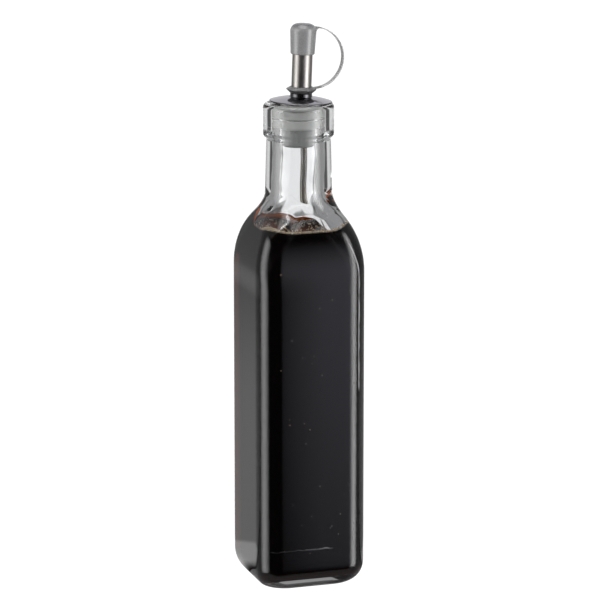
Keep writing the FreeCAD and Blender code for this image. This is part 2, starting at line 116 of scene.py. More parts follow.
REACH = 0.25        # how far the vinegar reaches into the glass
AROUND = 240        # points round a ring
CREEP = 0.9         # how far the drink is drawn up where it meets the glass
CREEP_REACH = 0.8   # and how soon that dies away from the wall
FILM_RISE = 6.9     # how far its film stands up the back of the shoulder
FILM_LEAST = 0.2    # and everywhere else
FILM_BEGINS, FILM_ENDS = (32, 66), (140, 172)     # headings in degrees between which it grows and fades


# ---------------------------------------------------------------- forms

def smooth_step(value, low=0.0, high=1.0):
    """0 below low, 1 above high and smooth between."""
    part = min(max((value - low) / (high - low), 0.0), 1.0)
    return part * part * (3 - 2 * part)


def square_edge(angle, half, corner):
    """Where a ray from the middle leaves a square with rounded corners."""
    c, s = abs(math.cos(angle)), abs(math.sin(angle))
    flat = half - corner
    large, small = max(c, s), min(c, s)
    if half * small / large <= flat:
        reach = half / large
    else:
        along = flat * (c + s)
        reach = along + math.sqrt(max(along * along - 2 * flat * flat + corner * corner, 0.0))
    return reach * math.cos(angle), reach * math.sin(angle)


def sunk(x, y, half, corner, depth):
    """Draws the middle of each flat side in a little, as glass does while it cools."""
    flat = half - corner
    if flat < 1 or depth == 0:
        return x, y
    if abs(y) < flat and abs(x) > abs(y):
        return x - math.copysign(depth * math.cos(math.pi * y / (2 * flat)) ** 2, x), y
    if abs(x) < flat and abs(y) > abs(x):
        return x, y - math.copysign(depth * math.cos(math.pi * x / (2 * flat)) ** 2, y)
    return x, y


def ring(half, corner, height, sink=0.0, ripple=None):
    """One level section: a square with rounded corners, or a circle where corner equals half."""
    points = []
    for step in range(AROUND):
        angle = 2 * math.pi * step / AROUND
        x, y = square_edge(angle, half, corner)
        x, y = sunk(x, y, half, corner, sink)
        if ripple:
            grow = 1 + ripple(angle, height) / math.hypot(x, y)
            x, y = x * grow, y * grow
        points.append(Vector((x, y, height)))
    return points


def vessel(form):
    """Sections (half side, corner, height) of a square vessel from its foot to the root of its neck."""
    sections = []
    heel, side, lower, upper = 14, 40, 31, 23       # steps in each part
    for step in range(heel + 1):
        turn = math.pi / 2 * step / heel
        half = form["foot_half"] + (form["half"] - form["foot_half"]) * math.sin(turn)
        corner = form["foot_corner"] + (form["corner"] - form["foot_corner"]) * math.sin(turn)
        sections.append((half, corner, form["floor"] + form["heel_rise"] * (1 - math.cos(turn))))
    top = form["floor"] + form["heel_rise"]
    for step in range(1, side):
        sections.append((form["half"], form["corner"], top + (form["start"] - top) * step / side))
    drop, rise = form["half"] - form["root_radius"], form["root"] - form["start"]
    slope = 2 * math.atan(drop / rise)
    bend = rise / math.sin(slope)
    share = form["share"]
    for step in range(lower + 1):
        turn = slope * step / lower
        sections.append((form["half"] - share * bend * (1 - math.cos(turn)),
                         None, form["start"] + share * bend * math.sin(turn)))
    for step in range(1, upper + 1):
        turn = slope * (1 - step / upper)
        sections.append((form["root_radius"] + (1 - share) * bend * (1 - math.cos(turn)),
                         None, form["root"] - (1 - share) * bend * math.sin(turn)))
    first = form["corner"] / form["half"]
    done = []
    for half, corner, height in sections:
        if corner is None:
            climbed = min((height - form["start"]) / rise, 1.0)
            corner = half * (first + (1 - first) * smooth_step(max(climbed, 0.0) ** form["blend"]))
        done.append((half, min(corner, half), height))
    return done


OUTSIDE = dict(floor=0.0, foot_half=HALF - FOOT_INSET, foot_corner=FOOT_CORNER, heel_rise=HEEL_RISE, half=HALF,
               corner=CORNER, start=SHOULDER_START, root=NECK_ROOT, root_radius=NECK_ROOT_RADIUS, share=0.71,
               blend=3.3)


def inside_form(reach):
    """The inside of the glass, or a form that reaches into the wall by so much."""
    half = HALF - WALL + reach
    return dict(floor=FLOOR - reach, foot_half=half - INNER_FOOT_INSET, foot_corner=CORNER - WALL + reach,
                heel_rise=INNER_HEEL_RISE, half=half, corner=CORNER - WALL + reach, start=INNER_SHOULDER_START,
                root=BORE_END, root_radius=BORE_RADIUS + reach, share=0.72, blend=1.0)


def side_sink(height, depth):
    """How far a flat side is drawn in at a height."""
    return depth * smooth_step(height, 14, 60) * (1 - smooth_step(height, 130, 172))


def between(value, table):
    """A smooth reading between the rows (value, reading) of a table."""
    for (low, first), (high, last) in zip(table, table[1:]):
        if value <= high:
            return first + (last - first) * smooth_step(value, low, high)
    return table[-1][1]


BORE_WANDER = ((198, 0.0), (209, -0.35), (217, -0.45), (226, 0.0), (232, 0.15), (236, 0.0))


def bore_ripple(angle, height):
    """The slight unevenness that the inside of a blown bottle has, in mm: its neck wanders a little."""
    wave = math.sin(2 * angle + height / 11) + 0.6 * math.sin(3 * angle - height / 7 + 1.3)
    wave *= 0.05 * smooth_step(height, 10, 30) * (1 - smooth_step(height, 226, 233))
    if height < 198:
        return wave
    return wave + between(height, BORE_WANDER) * math.cos(angle + math.radians(18))


def arc(centre_r, centre_z, radius, first, last, steps):
    """Profile points on an arc, angles in degrees from the outward direction."""
    points = []
    for step in range(steps + 1):
        turn = math.radians(first + (last - first) * step / steps)
        points.append((centre_r + radius * math.cos(turn), centre_z + radius * math.sin(turn)))
    return points


def spaced(first, last, steps):
    """Profile points on a straight run, its first end left out."""
    return [(first[0] + (last[0] - first[0]) * step / steps, first[1] + (last[1] - first[1]) * step / steps)
            for step in range(1, steps + 1)]


# ---------------------------------------------------------------- meshes

class Shell:
    """Points and faces of one closed skin, with a mark on each point that a material may read."""

    def __init__(self):
        self.points, self.faces, self.marks = [], [], []

    def add_points(self, points, mark=0.0):
        """Adds points with one mark and gives the number of the first."""
        first = len(self.points)
        self.points += [Vector(point) for point in points]
        self.marks += [mark] * len(points)
        return first

    def volume(self):
        """The volume inside, negative where the faces look inward."""
        total = 0.0
        for face in self.faces:
            a = self.points[face[0]]
            for second, third in zip(face[1:], face[2:]):
                total += a.dot(self.points[second].cross(self.points[third]))
        return total / 6

    def outward(self):
        """Turns the faces so that they look outward."""
        if self.volume() < 0:
            self.faces = [tuple(reversed(face)) for face in self.faces]
        return self

    def moved(self, matrix):
        self.points = [matrix @ point for point in self.points]
        return self


def skin(rings, start=None, end=None, marks=None, closed=False):
    """A skin through rings of points; a start or end point closes it with a fan, closed joins last to first."""
    shell = Shell()
    marks = marks or [0.0] * len(rings)
    firsts = [shell.add_points(points, mark) for points, mark in zip(rings, marks)]
    count = len(rings[0])
    pairs = list(zip(firsts, firsts[1:]))
    if closed:
        pairs.append((firsts[-1], firsts[0]))
    for low, high in pairs:
        for step in range(count):
            following = (step + 1) % count
            shell.faces.append((low + step, low + following, high + following, high + step))
    if start is not None:
        pole = shell.add_points([start], marks[0])
        shell.faces += [(pole, firsts[0] + (step + 1) % count, firsts[0] + step) for step in range(count)]
    if end is not None:
        pole = shell.add_points([end], marks[-1])
        shell.faces += [(pole, firsts[-1] + step, firsts[-1] + (step + 1) % count) for step in range(count)]
    return shell.outward()


def turned(profile, count=128, closed=True):
    """A skin turned round the axis; points on the axis become poles."""
    def circle(radius, height):
        return [Vector((radius * math.cos(2 * math.pi * step / count),
                        radius * math.sin(2 * math.pi * step / count), height)) for step in range(count)]
    start = end = None
    if profile[0][0] == 0:
        start, profile = Vector((0, 0, profile[0][1])), profile[1:]
    if profile[-1][0] == 0:
        end, profile = Vector((0, 0, profile[-1][1])), profile[:-1]
    rings = [circle(radius, height) for radius, height in profile]
    return skin(rings, start, end, closed=closed and start is None and end is None)


def eased(profile, radius, closed=True, steps=4):
    """The profile with each of its sharp turns rounded; long runs get a point near each end."""
    count = len(profile)
    made = []
    for index, point in enumerate(profile):
        here = Vector(point)
        if not closed and index in (0, count - 1):
            made.append(tuple(here))
            continue
        before, after = Vector(profile[index - 1]), Vector(profile[(index + 1) % count])
        back, on = before - here, after - here
        turn = math.pi - back.angle(on)
        if turn < math.radians(12):
            made.append(tuple(here))
            continue
        size = min(radius, 0.3 * back.length / math.tan(turn / 2) if turn > 0 else radius,
                   0.3 * on.length / math.tan(turn / 2))
        cut = size * math.tan(turn / 2)
        first, last = here + back.normalized() * cut, here + on.normalized() * cut
        for step in range(steps + 1):
            part = step / steps
            made.append(tuple(first * (1 - part) ** 2 + here * 2 * part * (1 - part) + last * part ** 2))
    return made


def new_mesh(name, points, faces):
    mesh = bpy.data.meshes.new(name)
    mesh.from_pydata(points, [], faces)
    return mesh


def new_object(name, data):
    """An object in the scene, at the origin."""
    made = bpy.data.objects.new(name, data)
    bpy.context.scene.collection.objects.link(made)
    return made


def settled(piece):
    """The piece's mesh with its modifiers worked in."""
    graph = bpy.context.evaluated_depsgraph_get()
    return bpy.data.meshes.new_from_object(piece.evaluated_get(graph))


def make_piece(name, shells, replaced):
    """A smooth mesh object from skins in mm, standing for a CAD node."""
    points, faces, marks = [], [], []
    for shell in shells:
        first = len(points)
        points += [point * MM for point in shell.points]
        faces += [tuple(first + corner for corner in face) for face in shell.faces]
        marks += shell.marks
    mesh = new_mesh(name, points, faces)
    mesh.attributes.new("mark", "FLOAT", "POINT").data.foreach_set("value", marks)
    mesh.shade_smooth()
    piece = new_object(name, mesh)
    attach(piece, "root")
    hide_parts(replaced)
    return piece


def sharp_by_angle(piece, degrees):
    """Keeps the edges of turned steel and moulded steps crisp while the rest shades smoothly."""
    bm = bmesh.new()
    bm.from_mesh(piece.data)
    for edge in bm.edges:
        if len(edge.link_faces) == 2 and edge.calc_face_angle(0) > math.radians(degrees):
            edge.smooth = False
    bm.to_mesh(piece.data)
    bm.free()


def make_cutter(radius, low, high, x):
    """The round bar that drill takes away."""
    shell = turned([(0, low), (radius, low), (radius, high), (0, high)], 64)
    points = [(point + Vector((x, 0, 0))) * MM for point in shell.points]
    return new_object("cutter", new_mesh("cutter", points, shell.faces))


def drill(piece, x, radius, low, high):
    """Cuts a round hole parallel to the axis."""
    cutter = make_cutter(radius, low, high, x)
    cut = piece.modifiers.new("hole", "BOOLEAN")
    cut.operation, cut.solver, cut.object = "DIFFERENCE", "EXACT", cutter
    mesh = settled(piece)
    piece.modifiers.remove(cut)
    piece.data = mesh
    bpy.data.objects.remove(cutter)


POURER = Matrix.Translation((SEAT_SHIFT, 0, SEAT)) @ Matrix.Rotation(math.radians(LEAN), 4, "Y")


def make_glass():
    """The bottle as one skin: punt, foot, outside, lip, bore, inside and floor."""
    rings = []
    inside = inside_form(0.0)
    dome = (PUNT_RADIUS ** 2 + PUNT_DEPTH ** 2) / (2 * PUNT_DEPTH)
    for step in range(1, 13):
        radius = PUNT_RADIUS * step / 12
        height = PUNT_DEPTH - dome + math.sqrt(dome * dome - radius * radius)
        rings.append(ring(radius, radius, max(height, 0.0)))
    for step in range(1, 5):
        part = step / 5
        rings.append(ring(PUNT_RADIUS + (OUTSIDE["foot_half"] - PUNT_RADIUS) * part,
                          PUNT_RADIUS + (FOOT_CORNER - PUNT_RADIUS) * part, 0.0))
    for half, corner, height in vessel(OUTSIDE):
        rings.append(ring(half, corner, height, side_sink(height, SIDE_SINK)))
    band_foot = LIP - FINISH_HEIGHT
    neck = [(NECK_ROOT_RADIUS, NECK_ROOT)] + spaced((NECK_ROOT_RADIUS, NECK_ROOT), (NECK_RADIUS, band_foot), 16)
    lip = arc(FINISH_RADIUS - LIP_ROUND, LIP - LIP_ROUND, LIP_ROUND, 0, 90, 12)
    profile = neck[1:]
    profile += arc(FINISH_RADIUS - FINISH_FOOT, band_foot + FINISH_FOOT, FINISH_FOOT, -90, 0, 8)
    profile += spaced(profile[-1], lip[0], 10)[:-1] + lip
    mouth = (BORE_RADIUS + MOUTH_FLARE, LIP)
    profile += spaced(profile[-1], mouth, 6)
    profile += spaced(mouth, (BORE_RADIUS, LIP - MOUTH_FLARE), 3)
    profile += spaced((BORE_RADIUS, LIP - MOUTH_FLARE), (BORE_RADIUS, BORE_END), 44)
    for radius, height in profile:
        low = height < LIP - 20 and radius < BORE_RADIUS + 0.1
        rings.append(ring(radius, radius, height, ripple=bore_ripple if low else None))
    for half, corner, height in reversed(vessel(inside)[:-1]):
        rings.append(ring(half, corner, height, side_sink(height, INNER_SINK), bore_ripple))
    for part in (0.8, 0.55, 0.3):
        rings.append(ring(inside["foot_half"] * part, inside["foot_corner"] * part + 5 * (1 - part) * part, FLOOR))
    shell = skin(rings, Vector((0, 0, PUNT_DEPTH)), Vector((0, 0, FLOOR)))
    return make_piece("glass_bottle", [shell], "bottle")


def wall_at(sections, height):
    """Half side and corner of the inside at a height."""
    for low, high in zip(sections, sections[1:]):
        if low[2] <= height <= high[2]:
            part = (height - low[2]) / max(high[2] - low[2], 1e-6)
            return tuple(first + (last - first) * part for first, last in zip(low[:2], high[:2]))
    return sections[-1][:2]


def creep(inward):
    """How far the surface stands above its level at a distance from the wall."""
    return CREEP * math.exp(-inward / CREEP_REACH)


def film_rise(angle):
    """How far the film that the drink leaves on the glass stands above its surface, in mm."""
    turn = math.degrees(angle) % 360
    back = smooth_step(turn, *FILM_BEGINS) * (1 - smooth_step(turn, *FILM_ENDS))
    ragged = math.sin(5 * angle + 0.6) + 0.7 * math.sin(11 * angle + 2.0) + 0.5 * math.sin(23 * angle)
    return FILM_LEAST + back * (FILM_RISE + 0.12 * ragged)


def make_vinegar():
    """The drink, reaching just into the wall, its surface drawn up and filmed where it meets the glass."""
    rings, marks = [], []
    form = inside_form(REACH)
    for part in (0.3, 0.6, 0.85):
        rings.append(ring(form["foot_half"] * part, form["foot_corner"] * part, form["floor"]))
        marks.append(-1.0)
    sections = vessel(form)
    for half, corner, height in [section for section in sections if section[2] < LEVEL - 0.3]:
        rings.append(ring(half, corner, height, side_sink(height, INNER_SINK), bore_ripple))
        marks.append(-1.0)

    def around(rise, inward):
        """A ring at a share of the film's rise, so far in from the wall."""
        points = []
        for step in range(AROUND):
            angle = 2 * math.pi * step / AROUND
            height = LEVEL + film_rise(angle) * rise
            half, corner = wall_at(sections, height)
            x, y = square_edge(angle, half - inward, max(corner - inward, 1.0))
            points.append(Vector((x, y, height)))
        return points

    for rise, mark in ((0.25, -1.0), (0.6, -0.2), (1.0, -0.2)):
        rings.append(around(rise, 0.0))
        marks.append(mark)
    for rise, inward, mark in ((1.01, 0.22, 0.05), (0.8, 0.36, 0.1), (0.55, 0.45, 0.15), (0.3, 0.58, 0.2),
                               (0.14, 0.8, 0.35), (0.05, 1.15, 0.6)):
        rings.append(around(rise, inward))
        marks.append(mark)
    half, corner = wall_at(sections, LEVEL)
    for inward in (1.6, 2.1, 2.7, 3.4, 4.4, 5.6, 7, 9, 11, 13, 15, 17, 19):
        shrink = (half - inward) / half
        rings.append(ring(half * shrink, corner * shrink, LEVEL + creep(inward)))
        marks.append(inward - 0.5)
    shell = skin(rings, Vector((0, 0, form["floor"])), Vector((0, 0, LEVEL)), marks)
    return make_piece("vinegar_fill", [shell], "vinegar")


def surface_band(first, last, low, high):
    """A strip of the drink's surface by the glass, from one angle to another in degrees."""
    half, corner = wall_at(vessel(inside_form(0.0)), LEVEL)
    points, faces = [], []
    count = int((last - first) / 2)
    for step in range(count + 1):
        angle = math.radians(first + (last - first) * step / count)
        for inward in (low, high):
            shrink = (half - inward) / half
            x, y = square_edge(angle, half * shrink, corner * shrink)
            points.append(Vector((x, y, LEVEL + creep(inward) + 0.05)) * MM)
    for step in range(count):
        faces.append((2 * step, 2 * step + 2, 2 * step + 3, 2 * step + 1))
    return new_mesh("band", points, faces)


def front_wall():
    """A panel just inside the front wall, where the glass carries its seeds."""
    across, low, high = 20.0, 18.0, 178.0
    depth = -(HALF - WALL + 0.5)
    corners = ((-across, depth, low), (across, depth, low), (across, depth, high), (-across, depth, high))
    return new_mesh("panel", [Vector(point) * MM for point in corners], [(0, 1, 2, 3)])


def scatter_group(material):
    """Node group that strews round bubbles over a surface."""
    group = bpy.data.node_groups.new("strewn_bubbles", "GeometryNodeTree")
    face = group.interface
    face.new_socket("Surface", in_out="INPUT", socket_type="NodeSocketGeometry")
    for name, kind in (("Each square metre", "NodeSocketFloat"), ("Smallest", "NodeSocketFloat"),
                       ("Largest", "NodeSocketFloat"), ("Seed", "NodeSocketInt")):
        face.new_socket(name, in_out="INPUT", socket_type=kind)
    face.new_socket("Bubbles", in_out="OUTPUT", socket_type="NodeSocketGeometry")
    nodes, links = group.nodes, group.links
    start, end = nodes.new("NodeGroupInput"), nodes.new("NodeGroupOutput")
    spread = nodes.new("GeometryNodeDistributePointsOnFaces")
    ball = nodes.new("GeometryNodeMeshIcoSphere")
    ball.inputs["Subdivisions"].default_value = 3
    size = nodes.new("FunctionNodeRandomValue")
    place = nodes.new("GeometryNodeInstanceOnPoints")
    real = nodes.new("GeometryNodeRealizeInstances")
    smooth = nodes.new("GeometryNodeSetShadeSmooth")
    paint = nodes.new("GeometryNodeSetMaterial")
    paint.inputs["Material"].default_value = material
    for source, target in ((start.outputs["Surface"], spread.inputs["Mesh"]),
                           (start.outputs["Each square metre"], spread.inputs["Density"]),
                           (start.outputs["Seed"], spread.inputs["Seed"]),
                           (start.outputs["Smallest"], size.inputs[2]), (start.outputs["Largest"], size.inputs[3]),
                           (start.outputs["Seed"], size.inputs["Seed"]),
                           (spread.outputs["Points"], place.inputs["Points"]),
                           (ball.outputs["Mesh"], place.inputs["Instance"]),
                           (size.outputs[1], place.inputs["Scale"]),
                           (place.outputs["Instances"], real.inputs[0]), (real.outputs[0], smooth.inputs[0]),
                           (smooth.outputs[0], paint.inputs["Geometry"]), (paint.outputs[0], end.inputs[0])):
        links.new(source, target)
    return group


def bubbles(name, mesh, group, density, smallest, largest, seed):
    """Strews bubbles over a mesh and keeps them as plain faces; sizes in mm, density a square metre."""
    carrier = new_object(name, mesh)
    change = carrier.modifiers.new("bubbles", "NODES")
    change.node_group = group
    given = {"Each square metre": density, "Smallest": smallest * MM, "Largest": largest * MM, "Seed": seed}
    for socket in group.interface.items_tree:
        if socket.name in given and socket.in_out == "INPUT":
            change[socket.identifier] = given[socket.name]
    made = settled(carrier)
    carrier.modifiers.clear()
    carrier.data = made
    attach(carrier, "root")


def make_stopper():
    """Ribbed plug; its ribs press into the bore."""
    rib = BORE_RADIUS + 0.03
    core = BORE_RADIUS - 0.08 - RIB_DEPTH
    ribs_foot = STOPPER_TOP - RIB_COUNT * RIB_PITCH
    points = arc(core - 1.6, STOPPER_FOOT + 1.6, 1.6, -90, 0, 8)
    points += [(core, ribs_foot - RIB_BEVEL), (rib, ribs_foot)]
    for number in range(1, RIB_COUNT):
        groove = ribs_foot + number * RIB_PITCH
        points += [(rib, groove - RIB_GROOVE / 2), (core, groove), (rib, groove + RIB_GROOVE / 2)]
    points.append((rib, STOPPER_TOP))
    points = [(0, STOPPER_FOOT)] + eased(points, 0.18, closed=False, steps=3) + [(0, STOPPER_TOP)]
    piece = make_piece("ribbed_stopper", [turned(points)], "stopper")
    drill(piece, VENT_OFFSET, VENT_RADIUS + 0.03, STOPPER_FOOT - 1, STOPPER_TOP + 1)
    drill(piece, FLOW_OFFSET, FLOW_RADIUS, STOPPER_FOOT - 1, STOPPER_TOP + 1)
    drill(piece, 1.0, TUBE_RADIUS + 0.35, SEAT - SHANK - 0.3, STOPPER_TOP + 1)
    sharp_by_angle(piece, 50)
    return piece


def dome_height(radius):
    """Height of the disc's underside above its edge."""
    bend = (DISC_RADIUS ** 2 + DISC_DOME ** 2) / (2 * DISC_DOME)
    return DISC_DOME - bend + math.sqrt(bend * bend - radius * radius)


def make_spout():
    """Domed disc with a rolled rim, the collar and the pouring tube, turned in one."""
    bore = TUBE_RADIUS - TUBE_WALL
    collar = TUBE_RADIUS + COLLAR_STEP
    roll = DISC_SHEET / 2
    disc = [TUBE_RADIUS + (DISC_RADIUS - roll - TUBE_RADIUS) * step / 24 for step in range(25)]
    points = [(bore, -SHANK), (TUBE_RADIUS, -SHANK)]
    points += [(radius, dome_height(radius)) for radius in disc]
    points += arc(DISC_RADIUS - roll, roll, roll, -90, 90, 10)[1:-1]
    points += [(radius, dome_height(radius) + DISC_SHEET) for radius in reversed(disc) if radius > collar + 0.3]
    foot = dome_height(collar) + DISC_SHEET
    points += [(collar + 0.25, foot + 0.02), (collar + 0.08, foot + 0.1), (collar, foot + 0.3)]
    points += [(collar, COLLAR_TOP - COLLAR_STEP)]
    points += arc(collar - COLLAR_STEP, COLLAR_TOP - COLLAR_STEP, COLLAR_STEP, 15, 90, 6)
    points += spaced((TUBE_RADIUS, COLLAR_TOP), (TUBE_RADIUS, SPOUT_HEIGHT - 0.15), 12)
    points += [(TUBE_RADIUS - 0.12, SPOUT_HEIGHT), (bore + 0.12, SPOUT_HEIGHT), (bore, SPOUT_HEIGHT - 0.15)]
    piece = make_piece("steel_spout", [turned(points, 160).moved(POURER)], "spout")
    sharp_by_angle(piece, 40)
    return piece


def make_vent_tube():
    """The thin air tube under the stopper."""
    inner = VENT_RADIUS - VENT_WALL
    points = [(inner, VENT_FOOT), (VENT_RADIUS, VENT_FOOT)]
    points += spaced(points[-1], (VENT_RADIUS, VENT_TOP), 30)
    points += [(inner, VENT_TOP)]
    shell = turned(eased(points, 0.12), 48).moved(Matrix.Translation((VENT_OFFSET, 0, 0)))
    piece = make_piece("air_tube", [shell], "vent_tube")
    sharp_by_angle(piece, 40)
    return piece


def strap_section(middle, across, out, width, thickness):
    """One rounded rectangle of the strap, across and out being its two directions."""
    points = []
    edge = thickness * 0.32
    for quarter, (side, rise) in enumerate(((1, 1), (-1, 1), (-1, -1), (1, -1))):
        for step in range(5):
            turn = math.radians(90 * quarter + 22.5 * step)
            points.append(middle + across * (side * (width / 2 - edge) + edge * math.cos(turn))
                          + out * (rise * (thickness / 2 - edge) + edge * math.sin(turn)))
    return points


def make_dust_cap():
    """Cap with a rounded crown, the strap in a half circle, the web under its root, and the ring on the tube."""
    outline = [(CAP_HOLE, CAP_MOUTH + 0.15), (CAP_HOLE + 0.15, CAP_MOUTH)]
    outline += arc(MOUTH_RADIUS - 0.6, CAP_MOUTH + 0.6, 0.6, -90, 0, 6)
    outline += spaced(outline[-1], (CROWN_RADIUS, CAP_SHOULDER), 10)
    outline += arc(CROWN_RADIUS - CAP_DOME, CAP_SHOULDER, CAP_DOME, 0, 90, 14)[1:]
    outline += [(1.4, CAP_TOP), (0.0, CAP_TOP)]
    cap = turned([(0, SPOUT_HEIGHT + 0.4), (CAP_HOLE - 0.4, SPOUT_HEIGHT + 0.4), (CAP_HOLE, SPOUT_HEIGHT)]
                 + outline, 128)
    rings = []
    for step in range(73):
        lead = 100 - 200 * step / 72
        turn = math.radians(max(min(lead, 90), -90))
        beyond = max(abs(lead) - 90, 0) * 0.12
        out = Vector((math.cos(turn), 0, math.sin(turn)))
        middle = Vector((STRAP_ROOT - beyond, 0, STRAP_MIDDLE)) + out * STRAP_RADIUS
        rings.append(strap_section(middle, Vector((0, 1, 0)), out, STRAP_WIDTH, STRAP_THICKNESS))
    strap = skin(rings, sum(rings[0], Vector()) / len(rings[0]), sum(rings[-1], Vector()) / len(rings[-1]))
    top = STRAP_MIDDLE + STRAP_RADIUS
    web = [Vector((STRAP_ROOT + along, 0, top + above))
           for along, above in ((-2.5, -2.0), (0.6, -2.0), (1.0, -1.0), (1.7, -0.5), (2.6, -0.25),
                                (0.0, 0.28), (-2.0, 0.8))]
    reach = STRAP_WIDTH / 2 - 0.05
    sides = [(-reach, 0.96), (-1.8, 1.0), (0.0, 1.0), (1.8, 1.0), (reach, 0.96)]
    centre = sum(web, Vector()) / len(web)
    rings = [[centre + (point - centre) * size + Vector((0, offset, 0)) for point in web] for offset, size in sides]
    gusset = skin(rings, centre + Vector((0, -reach, 0)), centre + Vector((0, reach, 0)))
    grommet = [(radius, RING_MIDDLE + above)
               for radius, above in ((CAP_HOLE, -2.0), (CAP_HOLE + 0.5, -2.0), (RING_RADIUS, -0.15),
                                     (RING_RADIUS, 0.15), (CAP_HOLE + 0.5, 1.35), (CAP_HOLE, 1.35))]
    ring_shell = turned(eased(grommet, 0.22), 128)
    shells = [shell.moved(POURER) for shell in (cap, strap, gusset, ring_shell)]
    piece = make_piece("grey_dust_cap", shells, "dust_cap")
    sharp_by_angle(piece, 45)
    return piece


# ---------------------------------------------------------------- materials

class Wire:
    """An output in a node tree that takes part in sums."""

    def __init__(self, nodes, socket):
        self.nodes, self.socket = nodes, socket

    def maths(self, operation, *values):
        return self.nodes.add("ShaderNodeMath", dict(enumerate(values)), operation=operation)

    def __add__(self, other):
        return self.maths("ADD", self, other)

    def __sub__(self, other):
        return self.maths("SUBTRACT", self, other)

    def __rsub__(self, other):
        return self.maths("SUBTRACT", other, self)

    def __mul__(self, other):
        return self.maths("MULTIPLY", self, other)

    def __truediv__(self, other):
        return self.maths("DIVIDE", self, other)

    def __pow__(self, other):
        return self.maths("POWER", self, other)

    def __abs__(self):
        return self.maths("ABSOLUTE", self)

    __radd__, __rmul__ = __add__, __mul__

    def heading(self, along):
        """The angle whose opposite side is this and whose near side is along."""
        return self.maths("ARCTAN2", self, along)

    def least(self, other):
        return self.maths("MINIMUM", self, other)

    def most(self, other):
        return self.maths("MAXIMUM", self, other)


class Nodes:
    """The node tree of one material."""

    def __init__(self, name):
        self.material = bpy.data.materials.new(name)
        self.material.use_nodes = True
        self.tree = self.material.node_tree
        self.tree.nodes.clear()

    def add(self, kind, inputs=None, out=0, **settings):
        """Any node: its settings, its inputs as numbers or wires, and the output wanted."""
        node = self.tree.nodes.new(kind)
        for name, value in settings.items():
            setattr(node, name, value)
        for key, value in (inputs or {}).items():
            if isinstance(value, Wire):
                self.tree.links.new(value.socket, node.inputs[key])
            else:
                node.inputs[key].default_value = value
        return Wire(self, node.outputs[out])

    def place(self):
        """The piece's own coordinates, in metres."""
        return self.add("ShaderNodeTexCoord", out="Object")

    def axes(self, vector):
        split = self.tree.nodes.new("ShaderNodeSeparateXYZ")
        self.tree.links.new(vector.socket, split.inputs[0])
        return [Wire(self, socket) for socket in split.outputs]

    def stretched(self, vector, x, y, z):
        return self.add("ShaderNodeVectorMath", {0: vector, 1: (x, y, z)}, operation="MULTIPLY")

    def noise(self, vector, scale, detail=3.0, roughness=0.5):
        return self.add("ShaderNodeTexNoise", {"Vector": vector, "Scale": scale, "Detail": detail,
                                               "Roughness": roughness})

    def band(self, value, low, high, first=0.0, last=1.0):
        """Goes smoothly from first to last while value goes from low to high."""
        return self.add("ShaderNodeMapRange", {"Value": value, "From Min": low, "From Max": high, "To Min": first,
                                               "To Max": last}, interpolation_type="SMOOTHSTEP")

    def mix(self, factor, first, last):
        return self.add("ShaderNodeMix", {0: factor, 6: first, 7: last}, out=2, data_type="RGBA")

    def bump(self, height, distance, strength=1.0):
        return self.add("ShaderNodeBump", {"Height": height, "Distance": distance, "Strength": strength})

    def surface(self, inputs):
        self.finish(self.add("ShaderNodeBsdfPrincipled", inputs))

    def finish(self, shader):
        end = self.tree.nodes.new("ShaderNodeOutputMaterial")
        self.tree.links.new(shader.socket, end.inputs[0])


def colour(red, green, blue):
    return (red, green, blue, 1.0)


def clear_glass():
    """Clear flint glass with a faint smoky tone, its walls gently bowed and wavy, with a little haze from handling."""
    nodes = Nodes("clear_glass")
    place = nodes.place()
    x, _, z = nodes.axes(place)
    long_waves = nodes.noise(nodes.stretched(place, 1, 1, 0.12), 90, 1.0)
    haze = nodes.noise(place, 180, 4.0, 0.6)
    tint = nodes.mix(nodes.noise(place, 25, 2.0), colour(0.97, 0.975, 0.98), colour(0.94, 0.95, 0.955))
    left = (0.004 - x).most(0.0) * nodes.band(z, 0.160, 0.185, 1.0, 0.0)
    from_middle = (z - 0.125) / 0.09
    bow = from_middle * from_middle * x * 0.004 - left * left * 1.3
    nodes.surface({"Base Color": tint, "Roughness": nodes.band(haze, 0.45, 0.8, 0.0, 0.012), "IOR": 1.5,
                   "Transmission Weight": 1.0, "Normal": nodes.bump(bow + long_waves * 0.00001, 1.0)})
    return nodes.material


